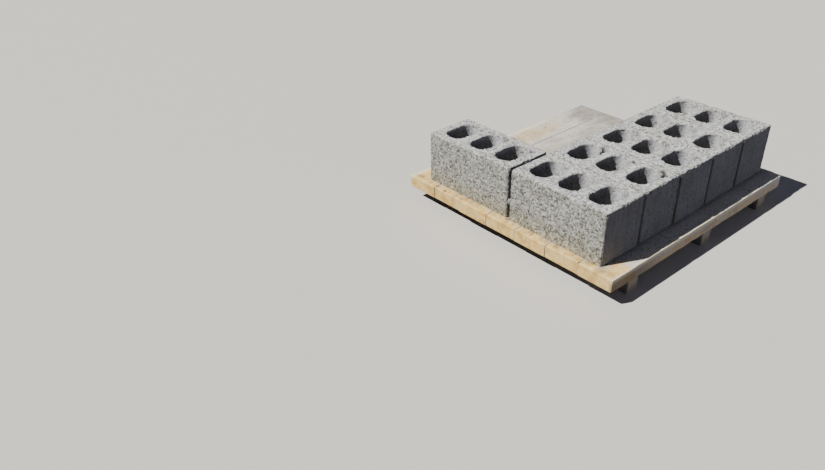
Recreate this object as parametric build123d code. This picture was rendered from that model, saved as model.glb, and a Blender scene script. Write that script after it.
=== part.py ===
"""A low production pallet with one layer of hollow concrete wall blocks.

Five blocks stand side by side in the front row and one block stands alone
at the left end of the back row, so that most of the back half of the
boarded deck is bare.  Three bearers carry the deck off the floor.

Frame: +X runs along the row of five, +Y runs from the front row to the back
row along the blocks' length, +Z is up.  The origin lies on the floor, under
the middle of the deck.  Lengths are in millimetres.
"""
from build123d import *

import math
import os

# Wall block: a solid prism with three cells across it
BLOCK_LENGTH = 390.0
BLOCK_WIDTH = 190.0
BLOCK_HEIGHT = 188.0
BLOCK_CORNER_RADIUS = 4.0      # the four upright arrises
BLOCK_TOP_BREAK = 2.0          # worn top arris and cell rims

# Cells, measured at the block's top face, where the mould cores are widest
CELL_COUNT = 3
CELL_LENGTH = 126.0            # across the block's width
CELL_WIDTH = 78.0              # along the block's length
CELL_WEB = 42.0                # concrete between two cells
CELL_END_RADIUS = 33.0         # the same from the cell's mouth to its foot
CELL_DRAFT = 1.2               # degrees from upright on every cell wall

# Deck of sawn boards, laid along X
BOARD_LENGTH = 1010.0
BOARD_WIDTH = 131.0
BOARD_THICKNESS = 45.0
BOARD_GAP = 2.0
BOARD_ARRIS_RADIUS = 2.5
# How far each board was sawn short at its left and right end, front board first
BOARD_TRIMS = ((0.0, 1.5), (2.0, 0.0), (0.5, 2.5), (1.5, 0.5), (0.0, 2.0), (2.5, 0.0), (1.0, 1.0))

# Bearers, laid along Y under the boards
BEARER_WIDTH = 50.0
BEARER_HEIGHT = 50.0
BEARER_ARRIS_RADIUS = 2.0
BEARER_SIDE_INSET = 90.0       # deck end to the outer bearer's outer face
BEARER_END_INSET = 0.0         # deck edge to the bearer's sawn end
MIDDLE_BEARER_SHIFT = 25.0     # the middle bearer lies a little off centre

# How the blocks stand on the deck
BLOCK_GAP = 1.5                # between neighbours in the front row
# Each front block as it was set down: its step along Y and its turn in degrees
FRONT_ROW_SET = ((0.0, 0.0), (1.0, -0.08), (-0.8, 0.06), (0.6, 0.1), (-0.4, -0.05))
LEFT_MARGIN = 33.0             # deck end to the first block
FRONT_MARGIN = 68.0            # deck edge to the front row
ROW_GAP = 10.0                 # front row to back row
BACK_BLOCK_SHIFT = 1.5         # along X, against the block in front of it
BACK_BLOCK_TURN = 0.3          # degrees, it was set down a little askew

# Places that follow from the sizes above
BOARD_PITCH = BOARD_WIDTH + BOARD_GAP
DECK_DEPTH = len(BOARD_TRIMS) * BOARD_PITCH - BOARD_GAP
DECK_TOP = BEARER_HEIGHT + BOARD_THICKNESS
DECK_LEFT = -BOARD_LENGTH / 2
DECK_FRONT = -DECK_DEPTH / 2
FIRST_BLOCK_X = DECK_LEFT + LEFT_MARGIN + BLOCK_WIDTH / 2
FRONT_ROW_Y = DECK_FRONT + FRONT_MARGIN + BLOCK_LENGTH / 2
BACK_ROW_Y = FRONT_ROW_Y + BLOCK_LENGTH + ROW_GAP
CELL_PITCH = CELL_WIDTH + CELL_WEB
OVERRUN = 5.0                  # how far a cutter stands proud of what it cuts


def cell_core():
    """One mould core: a round-ended slot that narrows downwards by its draft.

    The four walls are drafted first and their corners rounded after that, so each
    corner is a leaning cylinder and the end radius holds over the whole depth.
    """
    depth = BLOCK_HEIGHT + OVERRUN
    foot_width = CELL_WIDTH - 2 * depth * math.tan(math.radians(CELL_DRAFT))
    radius = min(CELL_END_RADIUS, 0.48 * foot_width)
    core = Pos(0, 0, -depth / 2) * Box(CELL_LENGTH, CELL_WIDTH, depth)
    walls = core.faces().filter_by(Axis.Z, reverse=True)
    core = draft(walls, Plane.XY, -CELL_DRAFT)
    corners = core.edges().filter_by(lambda edge: abs(edge.tangent_at(0.5).Z) > 0.5)
    return fillet(corners, radius)


def concrete_block():
    """One block, standing on z = 0, its length along Y and its middle on the Z axis."""
    outline = RectangleRounded(BLOCK_WIDTH, BLOCK_LENGTH, BLOCK_CORNER_RADIUS)
    block = extrude(outline, amount=BLOCK_HEIGHT)
    core = Pos(0, 0, BLOCK_HEIGHT) * cell_core()
    for place in GridLocations(0, CELL_PITCH, 1, CELL_COUNT):
        block -= place * core
    top = block.faces().sort_by(Axis.Z)[-1]
    block = chamfer(top.edges(), BLOCK_TOP_BREAK)
    return block


def sawn_timber(length, width, height, radius, along):
    """A sawn length of timber on z = 0 with its four long arrises eased."""
    section = Plane.YZ * RectangleRounded(width, height, radius)
    timber = extrude(section, amount=length / 2, both=True)
    timber = Pos(0, 0, height / 2) * timber
    if along == "Y":
        timber = Rot(0, 0, 90) * timber
    return timber


def deck_boards():
    """The boards of the deck, edge to edge with a narrow open joint."""
    first_y = DECK_FRONT + BOARD_WIDTH / 2
    boards = []
    for index, (left_trim, right_trim) in enumerate(BOARD_TRIMS):
        length = BOARD_LENGTH - left_trim - right_trim
        board = sawn_timber(length, BOARD_WIDTH, BOARD_THICKNESS, BOARD_ARRIS_RADIUS, "X")
        x = (left_trim - right_trim) / 2
        boards.append(Pos(x, first_y + index * BOARD_PITCH, BEARER_HEIGHT) * board)
    return boards


def bearers():
    """The left, middle and right bearers, from the front deck edge to the back one."""
    length = DECK_DEPTH - 2 * BEARER_END_INSET
    bearer = sawn_timber(length, BEARER_WIDTH, BEARER_HEIGHT, BEARER_ARRIS_RADIUS, "Y")
    outer_x = BOARD_LENGTH / 2 - BEARER_SIDE_INSET - BEARER_WIDTH / 2
    return [Pos(x, 0, 0) * bearer for x in (-outer_x, MIDDLE_BEARER_SHIFT, outer_x)]


def front_blocks(block):
    """The row of blocks along the front edge, standing on the deck."""
    pitch = BLOCK_WIDTH + BLOCK_GAP
    row = []
    for index, (step, turn) in enumerate(FRONT_ROW_SET):
        place = Pos(FIRST_BLOCK_X + index * pitch, FRONT_ROW_Y + step, DECK_TOP)
        row.append(place * Rot(0, 0, turn) * block)
    return row


def back_block(block):
    """The one block of the back row, behind the first block of the front row."""
    place = Pos(FIRST_BLOCK_X + BACK_BLOCK_SHIFT, BACK_ROW_Y, DECK_TOP)
    return place * Rot(0, 0, BACK_BLOCK_TURN) * block


def main():
    os.makedirs("parts", exist_ok=True)
    block = concrete_block()
    nodes = {"back_block": back_block(block)}
    for number, solid in enumerate(front_blocks(block), start=1):
        nodes[f"front_block_{number}"] = solid
    for number, solid in enumerate(deck_boards(), start=1):
        nodes[f"deck_board_{number}"] = solid
    for side, solid in zip(("left", "middle", "right"), bearers()):
        nodes[f"bearer_{side}"] = solid
    for name, solid in nodes.items():
        export_step(solid, f"parts/{name}.step")
        size = solid.bounding_box().size
        print(f"{name}: {size.X:.1f} x {size.Y:.1f} x {size.Z:.1f} mm")


main()
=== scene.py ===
# %% [markdown]
# # A low pallet with one layer of hollow concrete blocks
# Six pressed concrete blocks stand on a deck of sawn boards: five side by side in the
# front row, and one alone at the left end of the back row.  The measured solids come
# first, as a fixed frame.  Every piece made here takes its place and its size from them.

# %% Load the measured frame
import math

import bpy
import numpy as np
from mathutils import Matrix, Vector, noise


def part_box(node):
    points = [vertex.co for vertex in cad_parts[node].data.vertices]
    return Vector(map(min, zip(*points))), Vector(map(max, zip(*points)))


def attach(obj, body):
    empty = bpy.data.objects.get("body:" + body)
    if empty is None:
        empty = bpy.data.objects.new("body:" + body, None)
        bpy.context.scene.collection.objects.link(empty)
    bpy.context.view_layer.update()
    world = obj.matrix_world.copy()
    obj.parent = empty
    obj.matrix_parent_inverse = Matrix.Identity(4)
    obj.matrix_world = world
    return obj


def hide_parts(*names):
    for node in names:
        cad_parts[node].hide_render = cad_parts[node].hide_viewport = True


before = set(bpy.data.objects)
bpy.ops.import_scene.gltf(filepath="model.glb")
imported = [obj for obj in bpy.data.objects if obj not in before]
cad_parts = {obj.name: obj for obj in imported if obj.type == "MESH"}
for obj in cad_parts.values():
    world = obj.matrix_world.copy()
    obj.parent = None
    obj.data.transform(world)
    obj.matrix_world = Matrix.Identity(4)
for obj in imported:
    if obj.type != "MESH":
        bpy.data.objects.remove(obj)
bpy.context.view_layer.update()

# %% [markdown]
# ## The camera
# The view is the one in the photograph: from above the near left corner, looking down
# along the row.  It was worked out from the corners of the blocks, whose size is known.
# Setting the matrix by its three axes keeps the small lean of the hand-held camera,
# which an aim at a target point would lose.

# %% Place the camera
MM = 0.001
CAMERA_PLACE = Vector((-2.1509, -1.5089, 1.4312))
HEADING = math.radians(39.86)      # from +Y towards +X
PITCH = math.radians(31.96)        # below the horizon
LEAN = 0.021                       # to the right, in radians
SENSOR_WIDTH = 36.0                # millimetres
FOCAL_LENGTH = 33.34               # millimetres


def look(place, heading, pitch, lean):
    """The camera's matrix from a heading round Z, a pitch below the horizon and a lean to the right."""
    flat = math.cos(pitch)
    ahead = Vector((math.sin(heading) * flat, math.cos(heading) * flat, -math.sin(pitch)))
    level = Vector((math.cos(heading), -math.sin(heading), 0.0))
    upright = level.cross(ahead)
    right = math.cos(lean) * level - math.sin(lean) * upright
    up = math.cos(lean) * upright + math.sin(lean) * level
    matrix = Matrix((right, up, -ahead)).transposed().to_4x4()
    matrix.translation = place
    return matrix


camera = bpy.data.objects.new("camera", bpy.data.cameras.new("camera"))
bpy.context.scene.collection.objects.link(camera)
camera.matrix_world = look(CAMERA_PLACE, HEADING, PITCH, LEAN)
camera.data.sensor_width = SENSOR_WIDTH
camera.data.lens = FOCAL_LENGTH
bpy.context.scene.camera = camera
print("camera height, mm:", round(camera.location.z / MM))

# %% [markdown]
# ## Small helpers for colour and shader nodes
# Paint charts give colours as sRGB hex values, but a shader works with linear light, so
# one function turns the first into the second.  A second function adds any node, by its
# kind without the "ShaderNode" that all their names start with.  What it is given is
# either a property of the node, a plain value for an input, or another node's output,
# which is then joined to that input.  The three ways of mixing colours that the
# materials use are kept as ready settings.

# %% Colours and nodes
MIX_A, MIX_B, MIX_OUT = 6, 7, 2      # the colour inputs and output of a Mix node
BLEND = {"data_type": "RGBA"}
MULTIPLY = {"data_type": "RGBA", "blend_type": "MULTIPLY"}
OVERLAY = {"data_type": "RGBA", "blend_type": "OVERLAY"}


def linear(hex_colour):
    """An sRGB hex colour, such as "b6b6b0", as linear red, green, blue and alpha."""
    parts = [int(hex_colour[i:i + 2], 16) / 255 for i in (0, 2, 4)]
    return [p / 12.92 if p <= 0.04045 else ((p + 0.055) / 1.055) ** 2.4 for p in parts] + [1.0]


def add(tree, kind, settings):
    """Add a node.  Lower-case keys are its properties, numbers and capitalised keys are its inputs."""
    made = tree.nodes.new("ShaderNode" + kind)
    for key, value in settings.items():
        if key == "stops":
            for _ in value[2:]:
                made.color_ramp.elements.new(0.5)
            for stop, (position, hex_colour) in zip(made.color_ramp.elements, value):
                stop.position = position
                stop.color = linear(hex_colour)
        elif isinstance(key, str) and key[0].islower():
            setattr(made, key, value)
        elif isinstance(value, bpy.types.NodeSocket):
            tree.links.new(value, made.inputs[key])
        else:
            made.inputs[key].default_value = value
    return made


def new_material(name, roughness, ior):
    """An empty material, and its Principled shader."""
    material = bpy.data.materials.new(name)
    material.use_nodes = True
    shader = material.node_tree.nodes["Principled BSDF"]
    shader.inputs["Roughness"].default_value = roughness
    shader.inputs["IOR"].default_value = ior
    return material, shader


print("helpers ready")

# %% [markdown]
# ## Light
# The photograph was taken in sun from the left and a little behind, so the studio's main
# lamp shines from there too.  A sun lamp keeps one direction over the whole pallet, and
# its small angle keeps the edges of the shadows as crisp as the sun does.  A wide, weak
# lamp low in front and a dim, slightly blue surround keep detail in the shaded faces, and
# a third, weaker still, does so for the faces turned away from the photograph.

# %% Make the lights
# A lamp's name, the way its light travels, its strength, its width in the sky in degrees and its colour
LAMPS = (
    ("key_lamp", Vector((0.588, -0.274, -0.761)), 7.4, 0.8, "fffdf8"),
    ("fill_lamp", Vector((0.05, 0.99, -0.06)), 1.15, 40.0, "f0f1ff"),
    ("side_lamp", Vector((-1.0, -0.05, -0.03)), 0.4, 40.0, "f6f4ff"))
SURROUND_COLOUR = "a8bdff"
SURROUND_STRENGTH = 0.06


def add_sun(name, travel, strength, width, hex_colour):
    """A sun lamp that shines along `travel`, as wide in the sky as `width` degrees."""
    lamp = bpy.data.lights.new(name, "SUN")
    lamp.energy = strength
    lamp.angle = math.radians(width)
    lamp.color = linear(hex_colour)[:3]
    holder = bpy.data.objects.new(name, lamp)
    bpy.context.scene.collection.objects.link(holder)
    holder.rotation_mode = "QUATERNION"
    holder.rotation_quaternion = travel.to_track_quat("-Z", "Y")


for lamp in LAMPS:
    add_sun(*lamp)

world = bpy.data.worlds.new("studio")
world.use_nodes = True
surround = world.node_tree.nodes["Background"]
surround.inputs["Color"].default_value = linear(SURROUND_COLOUR)
surround.inputs["Strength"].default_value = SURROUND_STRENGTH
bpy.context.scene.world = world

# %% [markdown]
# ## Floor and backdrop
# The floor is a plain pale sheet.  It is hidden from diffuse rays, as if a dark cloth lay
# on it out of view, because light thrown back by so pale a floor would wash out the
# shaded ends of the blocks.  A ring of pale backdrop stands far out, for low views.  It
# glows by itself, so it looks the same all round, and it neither lights nor shades.

# %% Make the floor and the backdrop
FLOOR_REACH = 9.0
BACKDROP_HEIGHT = 7.0
BACKDROP_SIDES = 72
STUDIO_COLOUR = "cac6bf"
BACKDROP_GLOW = 1.75


def add_piece(name, points, faces, material):
    """A mesh object from points in metres and faces as lists of point numbers."""
    mesh = bpy.data.meshes.new(name)
    mesh.from_pydata(points, [], faces)
    mesh.materials.append(material)
    piece = bpy.data.objects.new(name, mesh)
    bpy.context.scene.collection.objects.link(piece)
    return piece


floor_paint, floor_shader = new_material("matt_floor_paint", roughness=0.9, ior=1.45)
floor_shader.inputs["Base Color"].default_value = linear(STUDIO_COLOUR)
circle = [2 * math.pi * k / BACKDROP_SIDES for k in range(BACKDROP_SIDES)]
foot = [(FLOOR_REACH * math.cos(a), FLOOR_REACH * math.sin(a), 0.0) for a in circle]
floor = add_piece("studio_floor", foot, [tuple(range(BACKDROP_SIDES))], floor_paint)
floor.visible_diffuse = False

glow, glow_shader = new_material("glowing_backdrop_cloth", roughness=1.0, ior=1.45)
glow_shader.inputs["Base Color"].default_value = (0.0, 0.0, 0.0, 1.0)
glow_shader.inputs["Emission Color"].default_value = linear(STUDIO_COLOUR)
glow_shader.inputs["Emission Strength"].default_value = BACKDROP_GLOW
glow.cycles.emission_sampling = "NONE"
brim = [(x, y, BACKDROP_HEIGHT) for x, y, z in foot]
panels = []
for k in range(BACKDROP_SIDES):
    after = (k + 1) % BACKDROP_SIDES
    panels.append((k, BACKDROP_SIDES + k, BACKDROP_SIDES + after, after))
backdrop = add_piece("studio_backdrop", foot + brim, panels, glow)
for ray in ("diffuse", "glossy", "transmission", "shadow"):
    setattr(backdrop, "visible_" + ray, False)
print("backdrop panels:", len(panels))

# %% [markdown]
# ## Pressed concrete
# The blocks are pressed from a nearly dry mix of cement and crushed screenings, so the
# surface is open: grains of 5 to 8 mm with finer ones of 2 to 3 mm packed between them,
# dark pores, and no skin of cement.  The sides that slid out of the mould are dragged
# into faint upright streaks, and the end faces are closed, with darker painted shade on
# them.  A warm tint low on the flanks is painted light thrown up from the yellow deck.
# Concrete is a rough dielectric with an IOR near 1.5.
#
# The pattern is built in object space.  The mesh carries three values of its own:
# "batch", which shifts tone and pattern from block to block, a second that is high where
# the surface was broken or sunk and where two blocks meet, and paints shade there, and
# "in_cell", which is 1 on the walls of the cells.  The direction that a face looks in
# tells ends from flanks.

# %% Concrete: where a point lies
BATCH_SHIFT = (3.1, 5.7, 2.3)      # metres that the pattern moves at a "batch" of 1

concrete, shader = new_material("pressed_concrete", roughness=0.93, ior=1.5)
tree = concrete.node_tree
place = add(tree, "TexCoord", {})
batch = add(tree, "Attribute", {"attribute_name": "batch"})
pit = add(tree, "Attribute", {"attribute_name": "pit"})
in_cell = add(tree, "Attribute", {"attribute_name": "in_cell"})
shift = add(tree, "VectorMath", {"operation": "SCALE", 0: BATCH_SHIFT, "Scale": batch.outputs["Fac"]})
shifted = add(tree, "VectorMath", {
    "operation": "ADD", 0: place.outputs["Object"], 1: shift.outputs["Vector"]})
spot = shifted.outputs["Vector"]
side = add(tree, "SeparateXYZ", {"Vector": place.outputs["Normal"]})
end_face = add(tree, "Math", {"operation": "ABSOLUTE", 0: side.outputs["Y"]}).outputs["Value"]
outside = add(tree, "Math", {"operation": "SUBTRACT", 0: 1.0, 1: in_cell.outputs["Fac"]}).outputs["Value"]
sideways = add(tree, "Math", {"operation": "ABSOLUTE", 0: side.outputs["X"]}).outputs["Value"]
flank = add(tree, "Math", {"operation": "MULTIPLY", 0: sideways, 1: outside}).outputs["Value"]
print("concrete nodes:", len(tree.nodes))

# %% [markdown]
# ### Paste and grains
# Broad blotches of cement paste come first, and the grains lie on them.  Voronoi cells
# give each grain one tone, but by themselves they have straight sides, like cut stone,
# so a small noise first bends the space that they lie in.  The grains show most on the
# flanks, less in the cells, and least on the closed ends.  A second, finer set of cells
# is the fine screenings between the grains, and a finer noise still is the sand.

# %% Concrete: paste, grains and sand
BLOTCH = 90 * MM
RAGGED = 3.0 * MM
GRAIN = 6.3 * MM
FINE_GRAIN = 2.7 * MM
SAND = 1.6 * MM

blotches = add(tree, "TexNoise", {"Vector": spot, "Scale": 1 / BLOTCH, "Detail": 5.0, "Roughness": 0.65})
paste = add(tree, "ValToRGB", {
    "stops": [(0.3, "c0c0bd"), (0.5, "cecece"), (0.7, "d8d9db")], "Fac": blotches.outputs["Fac"]})

ragged = add(tree, "TexNoise", {"Vector": spot, "Scale": 1 / RAGGED, "Detail": 1.0})
bent = add(tree, "VectorMath", {
    "operation": "MULTIPLY_ADD", 0: ragged.outputs["Color"], 1: (RAGGED, RAGGED, RAGGED), 2: spot})
grains = add(tree, "TexVoronoi", {"Vector": bent.outputs["Vector"], "Scale": 1 / GRAIN, "Randomness": 1.0})
grain_tone = add(tree, "SeparateColor", {"Color": grains.outputs["Color"]})
grain_light = add(tree, "ValToRGB", {
    "stops": [(0.0, "787877"), (0.2, "a8a8a6"), (0.5, "cfcfcd"), (0.8, "efefee"), (1.0, "ffffff")],
    "Fac": grain_tone.outputs["Red"]})
grain_rough = add(tree, "MapRange", {"Value": flank, "To Min": 0.88, "To Max": 1.0})
grain_end = add(tree, "MapRange", {
    "Value": end_face, "To Min": grain_rough.outputs["Result"], "To Max": 0.2})
grain_share = add(tree, "MapRange", {
    "Value": in_cell.outputs["Fac"], "To Min": grain_end.outputs["Result"], "To Max": 0.35})
toned = add(tree, "Mix", {
    **MULTIPLY, "Factor": grain_share.outputs["Result"],
    MIX_A: paste.outputs["Color"], MIX_B: grain_light.outputs["Color"]})

fines = add(tree, "TexVoronoi", {
    "Vector": bent.outputs["Vector"], "Scale": 1 / FINE_GRAIN, "Randomness": 1.0})
fine_grey = add(tree, "SeparateColor", {"Color": fines.outputs["Color"]})
fine_tone = add(tree, "ValToRGB", {
    "stops": [(0.0, "abaaa9"), (0.5, "bebebd"), (1.0, "cecece")], "Fac": fine_grey.outputs["Red"]})
mingled = add(tree, "Mix", {
    **OVERLAY, "Factor": 0.7, MIX_A: toned.outputs[MIX_OUT], MIX_B: fine_tone.outputs["Color"]})
sand = add(tree, "TexNoise", {"Vector": spot, "Scale": 1 / SAND, "Detail": 2.0})
sanded = add(tree, "Mix", {
    **OVERLAY, "Factor": 0.3, MIX_A: mingled.outputs[MIX_OUT], MIX_B: sand.outputs["Color"]})
print("concrete nodes:", len(tree.nodes))

# %% [markdown]
# ### Pores
# A dry mix leaves air between its grains.  Sparser Voronoi cells place the pores: the
# distance from a cell's middle gives a pit whose size differs from cell to cell, with
# many small ones and few large.  They are widest on the flanks and nearly closed in the
# cells.  Their dark colour is painted shade in the hollows, and where the mesh says that
# its surface is broken or sunk, the same painted shade goes in.

# %% Concrete: pores
PORE_SPACING = 10.0 * MM
# The dark of the painted shade in the pores and in broken or sunk places
HOLLOW_SHADE_COLOUR = "3d3c3b"

pores = add(tree, "TexVoronoi", {
    "Vector": bent.outputs["Vector"], "Scale": 1 / PORE_SPACING, "Randomness": 1.0})
pore_size = add(tree, "SeparateColor", {"Color": pores.outputs["Color"]})
outer_pores = add(tree, "MapRange", {"Value": flank, "To Min": 0.44, "To Max": 0.66})
end_pores = add(tree, "MapRange", {
    "Value": end_face, "To Min": outer_pores.outputs["Result"], "To Max": 0.22})
openness = add(tree, "MapRange", {
    "Value": in_cell.outputs["Fac"], "To Min": end_pores.outputs["Result"], "To Max": 0.14})
pore_skew = add(tree, "Math", {"operation": "POWER", 0: pore_size.outputs["Green"], 1: 1.8})
pore_edge = add(tree, "Math", {
    "operation": "MULTIPLY", 0: pore_skew.outputs["Value"], 1: openness.outputs["Result"]})
pore_depth = add(tree, "MapRange", {
    "Value": pores.outputs["Distance"],
    "From Min": 0.0, "From Max": pore_edge.outputs["Value"], "To Min": 1.0, "To Max": 0.0})
pore_shade = add(tree, "MapRange", {
    "Value": pore_depth.outputs["Result"],
    "From Min": 0.0, "From Max": 0.45, "To Min": 0.0, "To Max": 0.6})
hollow = add(tree, "Math", {
    "operation": "MAXIMUM", 0: pore_shade.outputs["Result"], 1: pit.outputs["Fac"]})
dark = add(tree, "Mix", {
    **BLEND, "Factor": hollow.outputs["Value"],
    MIX_A: sanded.outputs[MIX_OUT], MIX_B: linear(HOLLOW_SHADE_COLOUR)})
print("concrete nodes:", len(tree.nodes))

# %% [markdown]
# ### Streaks, ends, flanks and feet
# Noise stretched upright gives the drag marks of the mould.  Multiplied in where a face
# looks along the block, it makes the ends darker: real streaks under painted shade.
# Three thin films of colour are multiplied in as well: a warm one on the flanks, a warmer
# one that fades out upwards from the deck, which is painted light thrown up from the
# boards, and a faint cool one in the cells, which is painted shade.

# %% Concrete: the tone of each face
STREAK_WIDTH = 9 * MM
STREAK_LENGTH = 160 * MM
DECK_BOUNCE_RISE = 105 * MM
DECK_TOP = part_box("front_block_1")[0].z

streak_map = add(tree, "VectorMath", {
    "operation": "MULTIPLY", 0: spot, 1: (1 / STREAK_WIDTH, 1 / STREAK_WIDTH, 1 / STREAK_LENGTH)})
streaks = add(tree, "TexNoise", {"Vector": streak_map.outputs["Vector"], "Scale": 1.0, "Detail": 3.0})
streak_batch = add(tree, "Math", {
    "operation": "MULTIPLY_ADD", 0: batch.outputs["Fac"], 1: 0.5, 2: streaks.outputs["Fac"]})
# Painted shade on the faces that look along the block, with the mould's streaks in it
streaks_and_end_shade = add(tree, "ValToRGB", {
    "stops": [(0.3, "5b5b5d"), (0.7, "7b7b7d"), (1.0, "88888a")], "Fac": streak_batch.outputs["Value"]})
end_shade_share = add(tree, "MapRange", {"Value": in_cell.outputs["Fac"], "To Min": 0.89, "To Max": 0.86})
end_shade = add(tree, "Math", {"operation": "MULTIPLY", 0: end_face, 1: end_shade_share.outputs["Result"]})
warm = add(tree, "Mix", {
    **MULTIPLY, "Factor": flank, MIX_A: dark.outputs[MIX_OUT], MIX_B: linear("ecebe2")})
height = add(tree, "SeparateXYZ", {"Vector": place.outputs["Object"]})
# Painted light: a warm glow thrown up from the deck, low on the flanks, fading upwards
deck_bounce = add(tree, "MapRange", {
    "interpolation_type": "SMOOTHSTEP", "Value": height.outputs["Z"],
    "From Min": DECK_TOP, "From Max": DECK_TOP + DECK_BOUNCE_RISE, "To Min": flank, "To Max": 0.0})
bounce_lit = add(tree, "Mix", {
    **MULTIPLY, "Factor": deck_bounce.outputs["Result"],
    MIX_A: warm.outputs[MIX_OUT], MIX_B: linear("f2eddf")})
# Painted shade: a faint cool tint on the walls of the cells
celled = add(tree, "Mix", {
    **MULTIPLY, "Factor": in_cell.outputs["Fac"],
    MIX_A: bounce_lit.outputs[MIX_OUT], MIX_B: linear("f1f0f4")})
faced = add(tree, "Mix", {
    **MULTIPLY, "Factor": end_shade.outputs["Value"],
    MIX_A: celled.outputs[MIX_OUT], MIX_B: streaks_and_end_shade.outputs["Color"]})
tree.links.new(faced.outputs[MIX_OUT], shader.inputs["Base Color"])
print("concrete nodes:", len(tree.nodes))

# %% [markdown]
# ### Relief
# The patterns that gave the colour give the bump too, so each grain stands up, each pore
# sinks, and the sand roughens what lies between.

# %% Concrete: relief
CONCRETE_RELIEF = 1.5 * MM

fine_relief = add(tree, "Math", {"operation": "MULTIPLY", 0: fines.outputs["Distance"], 1: -0.45})
grain_relief = add(tree, "Math", {
    "operation": "MULTIPLY_ADD", 0: grains.outputs["Distance"], 1: -0.8, 2: fine_relief.outputs["Value"]})
pore_relief = add(tree, "Math", {
    "operation": "MULTIPLY_ADD", 0: pore_depth.outputs["Result"], 1: -1.0,
    2: grain_relief.outputs["Value"]})
relief = add(tree, "Math", {
    "operation": "MULTIPLY_ADD", 0: sand.outputs["Fac"], 1: 0.35, 2: pore_relief.outputs["Value"]})
bump = add(tree, "Bump", {
    "Strength": 0.9, "Distance": CONCRETE_RELIEF, "Height": relief.outputs["Value"]})
tree.links.new(bump.outputs["Normal"], shader.inputs["Normal"])
print("concrete nodes:", len(tree.nodes))

# %% [markdown]
# ## The blocks
# A real block has ragged arrises: corners that crumbled as it left the mould, small
# bites, and pits where a grain fell out.  Sculpting six blocks by hand would be slow,
# and a subdivided box has its points in the wrong places.  A voxel remesh of the
# measured solid gives an even skin of small squares, whose points can then be pushed
# inwards.  Moving them one by one in Python would be slow as well, so they are read
# into arrays, moved together, and written back.

# %% Copy a block and reach its points
def voxel_copy(node, name, voxel):
    """A new object with the shape of a CAD node, rebuilt as an even skin of small squares."""
    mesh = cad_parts[node].data.copy()
    piece = bpy.data.objects.new(name, mesh)
    bpy.context.scene.collection.objects.link(piece)
    weld = piece.modifiers.new("weld", "WELD")
    weld.merge_threshold = 0.01 * MM
    remesh = piece.modifiers.new("even skin", "REMESH")
    remesh.mode = "VOXEL"
    remesh.voxel_size = voxel
    graph = bpy.context.evaluated_depsgraph_get()
    piece.data = bpy.data.meshes.new_from_object(piece.evaluated_get(graph))
    piece.data.name = name
    piece.modifiers.clear()
    return piece


def read_rows(source, what, count):
    """Rows of x, y, z from a mesh's points ("co") or from its normals ("vector")."""
    flat = np.zeros(count * 3, np.float32)
    source.foreach_get(what, flat)
    return flat.reshape(-1, 3).astype(float)


def write_points(mesh, points):
    """Put changed points back into the mesh."""
    mesh.vertices.foreach_set("co", points.astype(np.float32).ravel())
    mesh.update()


def write_value(mesh, name, values):
    """Store one number for each point, for the shader to read."""
    layer = mesh.attributes.new(name, "FLOAT", "POINT")
    layer.data.foreach_set("value", np.asarray(values, np.float32))


def shade_smooth(mesh):
    """Shade a mesh's faces as one rounded skin."""
    for polygon in mesh.polygons:
        polygon.use_smooth = True


print("mesh helpers ready")

# %% [markdown]
# ### Random fields and distances
# Two things decide how far a point moves.  One is chance: a smooth random field with
# lumps of a chosen width.  The other is place: how near the point is to an arris, to a
# cell or to the foot.  A block's own size comes from the frame, and the cells' sizes
# are those of the measured solid.

# %% Fields and distances
BLOCK_SIZE = [round((high - low) / MM, 2) for low, high in zip(*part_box("front_block_1"))]
BLOCK_HALF_X, BLOCK_HALF_Y, BLOCK_HEIGHT = BLOCK_SIZE[0] / 2, BLOCK_SIZE[1] / 2, BLOCK_SIZE[2]
CELL_HALF_X, CELL_HALF_Y, CELL_RADIUS = 63.0, 39.0, 33.0      # millimetres, at the block's top
CELL_PITCH = 120.0
CELLS = (-1, 0, 1)                                            # times the pitch, from the middle
CELL_SLOPE = math.tan(math.radians(1.2))                      # their draft is 1.2 degrees
FAR = 1e9


def field(points, lump, seed):
    """Smooth random values from -1 to 1 with lumps `lump` millimetres wide, at points in millimetres."""
    moved = points / lump + np.array((seed * 7.31, seed * 3.77, seed * 5.13))
    return np.array([noise.noise(p) for p in moved.tolist()])


def ramp(values, low, high):
    """0 below low, 1 above high, and a smooth step between."""
    t = np.clip((values - low) / (high - low), 0, 1)
    return t * t * (3 - 2 * t)


def fade(distance, reach):
    """1 at a distance of 0, falling evenly to 0 at the reach."""
    return np.clip(1 - distance / reach, 0, 1)


def cell_distance(x, y, depth):
    """How far a point is outside the nearest cell's wall, in millimetres, at a depth below the top."""
    best = np.full(len(x), FAR)
    inset = CELL_SLOPE * depth
    for number in CELLS:
        across = np.abs(x) - (CELL_HALF_X - inset - CELL_RADIUS)
        along = np.abs(y - number * CELL_PITCH) - (CELL_HALF_Y - inset - CELL_RADIUS)
        outside = np.hypot(np.maximum(across, 0), np.maximum(along, 0))
        best = np.minimum(best, outside + np.minimum(np.maximum(across, along), 0) - CELL_RADIUS)
    return best


def line_distance(x, y, line):
    """Distance in millimetres from each point to a line of straight runs."""
    best = np.full(len(x), FAR)
    for (ax, ay), (bx, by) in zip(line, line[1:]):
        run = (bx - ax) ** 2 + (by - ay) ** 2
        t = np.clip(((x - ax) * (bx - ax) + (y - ay) * (by - ay)) / run, 0, 1)
        best = np.minimum(best, np.hypot(x - ax - t * (bx - ax), y - ay - t * (by - ay)))
    return best


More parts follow.
